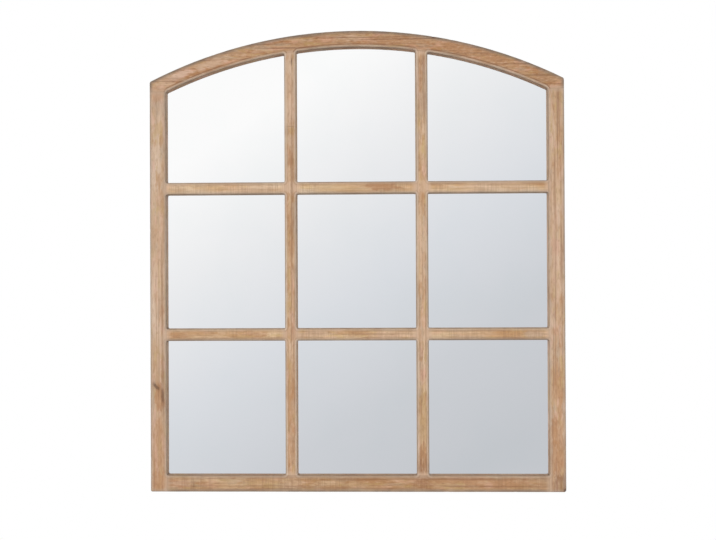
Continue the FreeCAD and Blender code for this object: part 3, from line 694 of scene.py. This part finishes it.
def wear_down(tones, shell, timber):
    """Keeps each place's distances from edge, rim and joint, and cuts the wear into the faces that show."""
    layers = [shell.verts.layers.float.new(name) for name in FIELDS]
    places = np.array([v.co for v in shell.verts]) / MM
    fields = [getattr(PLAN, name)(places[:, 0], places[:, 2]) for name in FIELDS]
    for vert, *amounts in zip(shell.verts, *(field.tolist() for field in fields)):
        for layer, amount in zip(layers, amounts):
            vert[layer] = amount
    outwards = {}
    for face in shown_faces(shell):
        pull = face.normal * face.calc_area()
        for vert in face.verts:
            outwards[vert] = outwards[vert] + pull if vert in outwards else pull
    for vert, out in outwards.items():
        near = (vert[layer] for layer in layers)
        vert.co -= out.normalized() * wear_depth(tones, timber, vert.co / MM, *near)


def settle_shading(shell, angle=32):
    """Smooth faces, with the sharp edges kept."""
    for face in shell.faces:
        face.smooth = True
    limit = math.radians(angle)
    for edge in shell.edges:
        edge.smooth = len(edge.link_faces) == 2 and edge.calc_face_angle(0) < limit


def finished(shell, name, body, finishes, nodes):
    """Makes a piece of a shell, lets it ride on its body and stand for its CAD nodes."""
    mesh = bpy.data.meshes.new(name)
    shell.to_mesh(mesh)
    shell.free()
    for finish in finishes:
        mesh.materials.append(finish)
    piece = bpy.data.objects.new(name, mesh)
    bpy.context.scene.collection.objects.link(piece)
    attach(piece, body)
    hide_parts(*nodes)
    return piece


def make_member(context, node):
    """One wooden member, sliced finely, worn and finished."""
    tones, timber = context.scene.mirror_fir, TIMBERS[node]
    shell = merged_copy(node)
    along = 2 if timber.grain == "Z" else 0
    slice_up(shell, along, tones.slice_along)
    slice_up(shell, 2 - along, tones.slice_across)
    slice_up(shell, 1, tones.slice_deep)
    shell.normal_update()
    wear_down(tones, shell, timber)
    shell.normal_update()
    settle_shading(shell)
    finished(shell, node + "_worn", "frame", [fir_finish(tones, node)], [node])


def coat(node, finish):
    """Gives a CAD node a finish of its own."""
    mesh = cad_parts[node].data
    mesh.materials.clear()
    mesh.materials.append(finish)


# Glass, board, hardware and dowels
def silver_finish(tones):
    made = Finish("silvered_face", ground=tones.silver)
    made.lay(made.patch((160, 160), 0.4, 0.7, detail=3), tones.haze)
    return made.surface(Metallic=1.0, Roughness=made.wander(made.cloud(60, 60, shift=3), 0.012, 0.03))


def rim_finish(tones):
    made = Finish("ground_rim", ground=tones.rim)
    made.lay(made.patch((4, 4), 0.35, 0.65), shaded(tones.rim, 0.7))
    return made.surface(Roughness=made.wander(made.cloud(2, 2, shift=5), 0.3, 0.5))


def paint_finish(tones):
    made = Finish("back_paint", ground=tones.paint)
    made.lay(made.patch((30, 30), 0.35, 0.65, detail=4), shaded(tones.paint, 0.8))
    return made.surface(Roughness=made.wander(made.cloud(5, 5, shift=5), 0.45, 0.65))


def board_finish(tones):
    made = Finish("fibreboard_face", ground=tones.board)
    made.lay(made.patch((1.6, 1.6), 0.42, 0.62, 0.0, 0.75, detail=3, rough=0.7), tones.fleck)
    made.lay(made.patch((26, 18), 0.42, 0.66, 0.0, 0.32, shift=4, detail=4, rough=0.65), tones.fleck)
    made.lay(made.patch((6, 0.5, 0.5), 0.66, 0.74, 0.0, 0.5, shift=8), shaded(tones.board, 1.6))
    grit = made.cloud(0.9, 0.9, shift=12, detail=2)
    return made.surface(Roughness=made.wander(grit, 0.5, 0.7), Normal=made.bump(grit, 0.3, 0.2))


def zinc_finish(tones, name, ground):
    made = Finish(name, "Z", 2.0, ground)
    made.lay(made.patch((5, 5), 0.42, 0.68, 0.0, 0.7, shift=6, detail=4), tones.dull)
    brush = made.cloud(12, 0.25, 0.25, detail=2)
    return made.surface(Metallic=1.0, Roughness=made.wander(brush, 0.28, 0.46),
                        Normal=made.bump(brush, 0.15, 0.05))


def rubber_finish(tones):
    made = Finish("pad_rubber", ground=tones.rubber)
    made.lay(made.patch((3, 3), 0.45, 0.7, 0.0, 0.8, detail=4), tones.bloom)
    grit = made.cloud(0.5, 0.5, shift=4)
    return made.surface(Roughness=made.wander(grit, 0.55, 0.8), Normal=made.bump(grit, 0.3, 0.1))


def beech_finish(tones):
    made = Finish("dowel_beech", ground=tones.beech)
    made.lay(made.patch((3.5, 0.7, 0.7), 0.55, 0.68, 0.0, 0.7), tones.ray)
    return made.surface(Roughness=made.wander(made.cloud(8, 1, 1, shift=5), 0.5, 0.7))


# Turned and moulded pieces, with their sizes in millimetres
SCREW_SIZES = {"board_screws": (6.0, 3.0, 12.0), "hanger_screws": (6.6, 3.5, 14.0)}
HEAD_HEIGHT, THREAD_PITCH, TIP_LENGTH = 2.0, 1.2, 2.2
SCREW_TURN = 2.4
PAD_PROFILE = ((0, 0), (1, 0), (1, 0.12), (0.94, 0.2), (0.92, 0.6), (0.86, 0.82), (0.72, 0.95),
               (0.5, 1), (0.34, 0.97), (0, 0.9))


def turned(profile, steps):
    """Shell spun about the Y axis from a profile of radius and height."""
    shell = bmesh.new()
    points = [shell.verts.new((radius * MM, height * MM, 0)) for radius, height in profile]
    line = [shell.edges.new(pair) for pair in zip(points, points[1:])]
    bmesh.ops.spin(shell, geom=points + line, cent=(0, 0, 0), axis=(0, 1, 0), angle=math.tau, steps=steps,
                   use_merge=True)
    bmesh.ops.remove_doubles(shell, verts=shell.verts, dist=0.001 * MM)
    return shell


def cross_recess(shell, level, arm, width, depth):
    """Closes the open top of a turned head with a cross-shaped driver recess."""
    ring = [e for e in shell.edges if e.is_boundary]
    half = width / 2
    corner = [(arm, -half), (arm, half), (half, half), (half, arm), (-half, arm), (-half, half),
              (-arm, half), (-arm, -half), (-half, -half), (-half, -arm), (half, -arm), (half, -half)]
    outline = [shell.verts.new((x * MM, level * MM, z * MM)) for x, z in corner]
    cross = [shell.edges.new((outline[i - 1], outline[i])) for i in range(len(outline))]
    bmesh.ops.bridge_loops(shell, edges=ring + cross)
    walls = bmesh.ops.extrude_edge_only(shell, edges=cross)["geom"]
    foot = [part for part in walls if isinstance(part, bmesh.types.BMVert)]
    bmesh.ops.scale(shell, vec=(0.62, 1, 0.62), verts=foot)
    bmesh.ops.translate(shell, vec=(0, -depth * MM, 0), verts=foot)
    rim = [part for part in walls if isinstance(part, bmesh.types.BMEdge) and part.is_boundary]
    bmesh.ops.edgeloop_fill(shell, edges=rim)


def make_screws(node, finish, seat):
    """Pan-head screws with cross recesses, each turned a little differently."""
    head, shank, reach = SCREW_SIZES[node]
    profile = [(0, -reach), (0.45 * shank, -reach + TIP_LENGTH)]
    for ridge in range(int((reach - TIP_LENGTH - THREAD_PITCH) / THREAD_PITCH)):
        base = -reach + TIP_LENGTH + ridge * THREAD_PITCH
        profile += [(0.36 * shank, base + 0.3 * THREAD_PITCH), (0.36 * shank, base + 0.6 * THREAD_PITCH),
                    (0.5 * shank, base + 0.85 * THREAD_PITCH)]
    profile += [(0.4 * shank, -0.6), (0.4 * shank, 0), (0.5 * head, 0), (0.5 * head, 0.5 * HEAD_HEIGHT),
                (0.47 * head, 0.72 * HEAD_HEIGHT), (0.4 * head, 0.9 * HEAD_HEIGHT),
                (0.33 * head, HEAD_HEIGHT)]
    one = turned(profile, 20)
    cross_recess(one, HEAD_HEIGHT, 0.26 * head, 0.1 * head, 0.6 * HEAD_HEIGHT)
    bmesh.ops.recalc_face_normals(one, faces=one.faces)
    settle_shading(one, angle=40)
    pattern = bpy.data.meshes.new(node + "_pattern")
    one.to_mesh(pattern)
    one.free()
    group = bmesh.new()
    for number, (x, y, z) in enumerate(solid_centres(node, seat)):
        copy = pattern.copy()
        place = Matrix.Translation((x * MM, y * MM, z * MM))
        copy.transform(place @ Matrix.Rotation(number * SCREW_TURN, 4, "Y"))
        group.from_mesh(copy)
        bpy.data.meshes.remove(copy)
    bpy.data.meshes.remove(pattern)
    finished(group, node + "_turned", "frame", [finish], [node])


def solid_centres(node, level):
    """Middle of each separate solid of a CAD node, set at one depth."""
    shell = bmesh.new()
    shell.from_mesh(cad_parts[node].data)
    bmesh.ops.remove_doubles(shell, verts=shell.verts, dist=WELD)
    left, middles = set(shell.verts), []
    while left:
        group, queue = [], [left.pop()]
        while queue:
            vert = queue.pop()
            group.append(vert.co.copy())
            near = {other for edge in vert.link_edges for other in edge.verts} & left
            left -= near
            queue += near
        x, z = ((min(p[axis] for p in group) + max(p[axis] for p in group)) / 2 / MM for axis in (0, 2))
        middles.append((x, level, z))
    shell.free()
    return sorted(middles)


# Operators
class MIRROR_OT_stiles(Operator):
    """Wear and finish the two stiles"""
    bl_idname = "mirror.stiles"
    bl_label = "Stiles"

    def execute(self, context):
        for side in SIDES:
            make_member(context, side + "_stile")
        return {"FINISHED"}


class MIRROR_OT_bottom_rail(Operator):
    """Wear and finish the bottom rail"""
    bl_idname = "mirror.bottom_rail"
    bl_label = "Bottom Rail"

    def execute(self, context):
        make_member(context, "bottom_rail")
        return {"FINISHED"}


class MIRROR_OT_arch_rail(Operator):
    """Wear and finish the arched head"""
    bl_idname = "mirror.arch_rail"
    bl_label = "Arch Rail"

    def execute(self, context):
        make_member(context, "arch_rail")
        return {"FINISHED"}


class MIRROR_OT_glazing_bars(Operator):
    """Wear and finish the upright and level glazing bars"""
    bl_idname = "mirror.glazing_bars"
    bl_label = "Glazing Bars"

    def execute(self, context):
        for place in ("left", "right", "lower", "upper"):
            make_member(context, place + "_glazing_bar")
        return {"FINISHED"}


class MIRROR_OT_dowels(Operator):
    """Finish the dowels inside the joints"""
    bl_idname = "mirror.dowels"
    bl_label = "Dowels"

    def execute(self, context):
        beech = beech_finish(context.scene.mirror_fittings)
        for node in ("corner_dowels", "bar_dowels"):
            coat(node, beech)
        return {"FINISHED"}


class MIRROR_OT_panes(Operator):
    """Silver the nine panes, with ground rims and painted backs"""
    bl_idname = "mirror.panes"
    bl_label = "Mirror Panes"

    def execute(self, context):
        tones = context.scene.mirror_glass
        finishes = [silver_finish(tones), rim_finish(tones), paint_finish(tones)]
        for row in ROWS:
            for column in COLUMNS:
                node = "pane_%s_%s" % (row, column)
                shell = merged_copy(node)
                shell.normal_update()
                for face in shell.faces:
                    facing = face.normal.y
                    face.material_index = 0 if facing < -FLAT else 2 if facing > FLAT else 1
                settle_shading(shell, angle=20)
                finished(shell, node + "_silvered", "frame", finishes, [node])
        return {"FINISHED"}


class MIRROR_OT_backing_board(Operator):
    """Finish the fibreboard back"""
    bl_idname = "mirror.backing_board"
    bl_label = "Backing Board"

    def execute(self, context):
        coat("backing_board", board_finish(context.scene.mirror_fittings))
        return {"FINISHED"}


class MIRROR_OT_screws(Operator):
    """Turn the screws of the board and the hangers"""
    bl_idname = "mirror.screws"
    bl_label = "Screws"

    def execute(self, context):
        tones = context.scene.mirror_fittings
        make_screws("board_screws", zinc_finish(tones, "board_screws_zinc", tones.brass),
                    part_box("backing_board")[1].y / MM)
        make_screws("hanger_screws", zinc_finish(tones, "hanger_screws_zinc", tones.zinc),
                    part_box("hanger_screws")[1].y / MM - HEAD_HEIGHT)
        return {"FINISHED"}


class MIRROR_OT_hangers(Operator):
    """Plate the hanger straps and rings"""
    bl_idname = "mirror.hangers"
    bl_label = "Hangers"

    def execute(self, context):
        tones = context.scene.mirror_fittings
        zinc = zinc_finish(tones, "hanger_zinc", tones.zinc)
        for side in SIDES:
            coat(side + "_hanger_strap", zinc)
            coat(side + "_hanger_ring", zinc)
        return {"FINISHED"}


class MIRROR_OT_bumpers(Operator):
    """Mould the pads at the foot of the back"""
    bl_idname = "mirror.bumpers"
    bl_label = "Wall Bumpers"

    def execute(self, context):
        rubber = rubber_finish(context.scene.mirror_fittings)
        for side in SIDES:
            node = side + "_wall_bumper"
            low, high = (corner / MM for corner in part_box(node))
            radius, tall = (high.x - low.x) / 2, high.y - low.y
            shell = turned([(across * radius, up * tall) for across, up in PAD_PROFILE], 40)
            bmesh.ops.translate(shell, verts=shell.verts,
                                vec=Vector(((low.x + high.x) / 2, low.y, (low.z + high.z) / 2)) * MM)
            bmesh.ops.recalc_face_normals(shell, faces=shell.faces)
            settle_shading(shell, angle=50)
            finished(shell, node + "_moulded", "frame", [rubber], [node])
        return {"FINISHED"}


# Stage
BRIGHT_SIDE = (-0.545, 0, 0.839)
FLOOR_FADE = (0.45, 0.95)


def lamp(name, travel, strength, spread):
    """Soft lamp whose light comes from one direction."""
    data = bpy.data.lights.new(name, "SUN")
    data.energy = strength
    data.angle = math.radians(spread)
    made = bpy.data.objects.new(name, data)
    made.rotation_euler = Vector(travel).to_track_quat("-Z", "Y").to_euler()
    made.visible_glossy = False
    bpy.context.scene.collection.objects.link(made)


def studio_room(stage):
    """White for the camera, a shaded room for reflections and a soft light for everything else."""
    world = bpy.data.worlds.new("studio")
    world.use_nodes = True
    room = Nodes(world.node_tree)

    def background(tone, strength):
        return room.add("Background", Color=tone, Strength=strength).outputs[0]

    way = room.add("TexCoord").outputs["Generated"]
    level = room.math("ADD", room.measure("DOT_PRODUCT", way, BRIGHT_SIDE), 0.5)
    shade = room.ramp(level, ((0.30, stage.dim), (0.40, stage.dusky), (0.50, stage.middle),
                              (0.60, stage.pale), (0.70, stage.bright)))
    height = room.add("SeparateXYZ", Vector=way).outputs["Z"]
    soft = room.math("MULTIPLY_ADD", height, stage.overhead * stage.surround, stage.surround)
    path = room.add("LightPath").outputs
    light = room.either(room.mirrored(path), background(WHITE, soft), background(shade, 1.0))
    light = room.either(path["Is Camera Ray"], light, background(WHITE, 1.0))
    room.end("OutputWorld", light)
    return world


def floor_finish(stage):
    """Pale floor with its shadows, fading into the white of the background."""
    made = Finish("studio_floor", ground=stage.floor)
    made.lay(made.patch((300, 300), 0.4, 0.6, 0.0, 0.03, detail=3), WHITE)
    matt = made.add("BsdfDiffuse", Color=made.tone).outputs[0]
    path = made.add("LightPath").outputs
    beyond = made.blend(path["Is Glossy Ray"], WHITE, stage.dusky)
    white = made.add("Emission", Color=beyond, Strength=1.0).outputs[0]
    fade = made.rise(made.measure("LENGTH", made.place), *(part * stage.floor_radius for part in FLOOR_FADE))
    seen = made.math("MAXIMUM", path["Is Camera Ray"], made.mirrored(path))
    made.end("OutputMaterial", made.either(made.times(fade, seen), matt, white))
    return made.material


class MIRROR_OT_stage(Operator):
    """Set up the floor, the light and the camera"""
    bl_idname = "mirror.stage"
    bl_label = "Stage"

    def execute(self, context):
        scene, stage = context.scene, context.scene.mirror_stage
        disc = bmesh.new()
        bmesh.ops.create_circle(disc, cap_ends=True, radius=stage.floor_radius, segments=96)
        bmesh.ops.translate(disc, verts=disc.verts, vec=(0, 0, stage.floor_level))
        mesh = bpy.data.meshes.new("floor")
        disc.to_mesh(mesh)
        disc.free()
        mesh.materials.append(floor_finish(stage))
        floor = bpy.data.objects.new("floor", mesh)
        scene.collection.objects.link(floor)
        scene.world = studio_room(stage)
        lamp("key", travel=(0.50, 0.74, -0.46), strength=stage.key, spread=40)
        lamp("fill", travel=(-0.78, 0.58, -0.2), strength=stage.fill, spread=60)
        lamp("back_light", travel=(-0.45, -0.75, -0.5), strength=stage.back, spread=40)
        data = bpy.data.cameras.new("camera")
        data.sensor_width = 36
        data.sensor_fit = "HORIZONTAL"
        data.lens = stage.lens
        camera = bpy.data.objects.new("camera", data)
        camera.location = stage.eye
        camera.rotation_euler = stage.turn
        scene.collection.objects.link(camera)
        scene.camera = camera
        scene.view_settings.view_transform = "Standard"
        return {"FINISHED"}


# Panel, registration and main function
OPERATORS = (MIRROR_OT_stage, MIRROR_OT_stiles, MIRROR_OT_bottom_rail, MIRROR_OT_arch_rail,
             MIRROR_OT_glazing_bars, MIRROR_OT_dowels, MIRROR_OT_panes, MIRROR_OT_backing_board,
             MIRROR_OT_screws, MIRROR_OT_hangers, MIRROR_OT_bumpers)
SETTINGS = {"mirror_fir": FirSettings, "mirror_glass": GlassSettings,
            "mirror_fittings": FittingSettings, "mirror_stage": StageSettings}


class MIRROR_PT_panel(Panel):
    """Pieces of the mirror and their settings"""
    bl_label = "Arched Window Mirror"
    bl_idname = "MIRROR_PT_panel"
    bl_space_type = "VIEW_3D"
    bl_region_type = "UI"
    bl_category = "Mirror"

    def draw(self, context):
        for operator in OPERATORS:
            self.layout.operator(operator.bl_idname)
        for name, group in SETTINGS.items():
            column = self.layout.column()
            for prop in group.__annotations__:
                column.prop(getattr(context.scene, name), prop)


def register():
    for group in SETTINGS.values():
        bpy.utils.register_class(group)
    for name, group in SETTINGS.items():
        setattr(bpy.types.Scene, name, bpy.props.PointerProperty(type=group))
    for made in (*OPERATORS, MIRROR_PT_panel):
        bpy.utils.register_class(made)


def unregister():
    for made in (MIRROR_PT_panel, *reversed(OPERATORS)):
        bpy.utils.unregister_class(made)
    for name, group in SETTINGS.items():
        delattr(bpy.types.Scene, name)
        bpy.utils.unregister_class(group)


def main():
    register()
    bpy.ops.mirror.stage()
    bpy.ops.mirror.stiles()
    bpy.ops.mirror.bottom_rail()
    bpy.ops.mirror.arch_rail()
    bpy.ops.mirror.glazing_bars()
    bpy.ops.mirror.dowels()
    bpy.ops.mirror.panes()
    bpy.ops.mirror.backing_board()
    bpy.ops.mirror.screws()
    bpy.ops.mirror.hangers()
    bpy.ops.mirror.bumpers()


if __name__ == "__main__":
    main()
